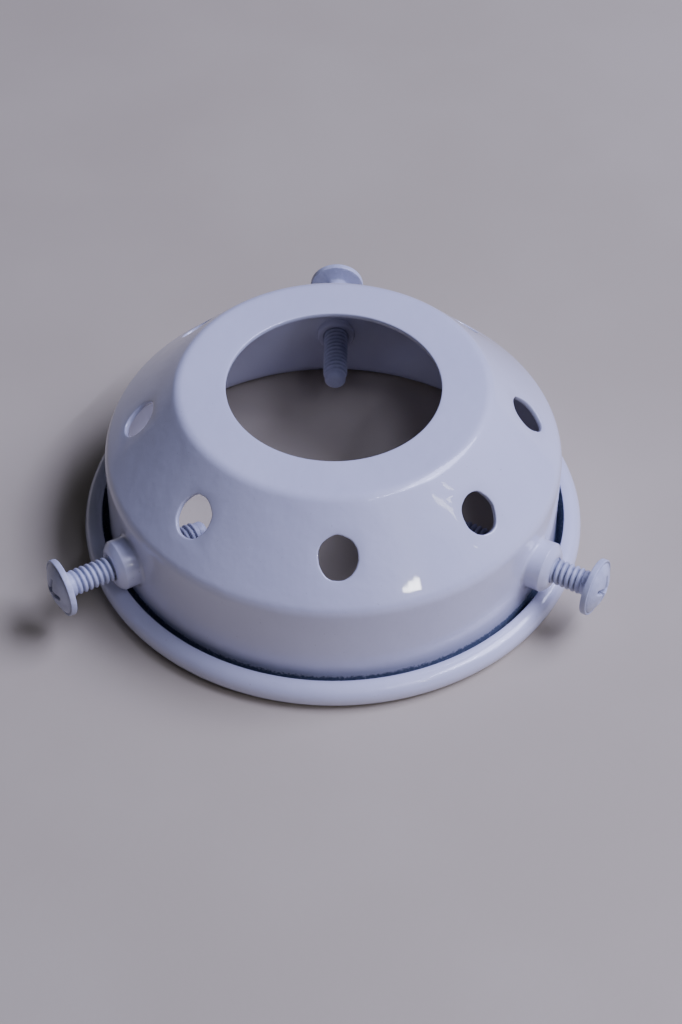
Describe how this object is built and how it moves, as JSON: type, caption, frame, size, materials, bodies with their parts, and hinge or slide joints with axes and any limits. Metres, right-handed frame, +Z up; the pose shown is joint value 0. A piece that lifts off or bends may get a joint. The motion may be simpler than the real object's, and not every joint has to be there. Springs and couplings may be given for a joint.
{
  "type": "lampshade gallery",
  "caption": "Vented round metal gallery with a rolled rim that clamps under a lampholder and grips the neck of a glass shade with radial mushroom-head screws.",
  "frame": {"origin": "centre of the lampholder hole, in the plane of the flat top face", "axes": "+Z up along the gallery's axis, out of the top face; +Y towards the back screw; +X to the right when the two front screws are nearest"},
  "size_m": [0.1032, 0.1059, 0.0356],
  "materials": {
    "gloss_enamel": "gloss white powder coat with a faint orange peel",
    "screw_enamel": "thick satin white paint, slightly grainy"
  },
  "bodies": {
    "gallery": {"gallery_shell": "gloss_enamel", "right_boss": "gloss_enamel", "back_boss": "gloss_enamel", "left_boss": "gloss_enamel"},
    "right_point": {"right_screw_point": "screw_enamel"},
    "right_screw": {"right_screw": "screw_enamel"},
    "back_point": {"back_screw_point": "screw_enamel"},
    "back_screw": {"back_screw": "screw_enamel"},
    "left_point": {"left_screw_point": "screw_enamel"},
    "left_screw": {"left_screw": "screw_enamel"}
  },
  "joints": [
    {"name": "right_screw_travel", "type": "slide", "parent": "gallery", "child": "right_point", "axis": [0.8729, -0.4879, 0], "range_m": [-0.00714, 0.01561]},
    {"name": "right_screw_turn", "type": "hinge", "parent": "right_point", "child": "right_screw", "pos_m": [0.0474, -0.02649, -0.0244], "axis": [0.8729, -0.4879, 0], "range_deg": [-2430, 5310]},
    {"name": "back_screw_travel", "type": "slide", "parent": "gallery", "child": "back_point", "axis": [0, 1, 0], "range_m": [-0.00846, 0.01428]},
    {"name": "back_screw_turn", "type": "hinge", "parent": "back_point", "child": "back_screw", "pos_m": [0, 0.0557, -0.0244], "axis": [0, 1, 0], "range_deg": [-2880, 4860]},
    {"name": "left_screw_travel", "type": "slide", "parent": "gallery", "child": "left_point", "axis": [-0.8634, -0.5045, 0], "range_m": [-0.00873, 0.01402]},
    {"name": "left_screw_turn", "type": "hinge", "parent": "left_point", "child": "left_screw", "pos_m": [-0.04835, -0.02825, -0.0244], "axis": [-0.8634, -0.5045, 0], "range_deg": [-2970, 4770]}
  ],
  "couplings": [
    {"joint": "right_screw_turn", "follows": "right_screw_travel", "rad_per_m": 5936.9},
    {"joint": "back_screw_turn", "follows": "back_screw_travel", "rad_per_m": 5936.9},
    {"joint": "left_screw_turn", "follows": "left_screw_travel", "rad_per_m": 5936.9}
  ]
}
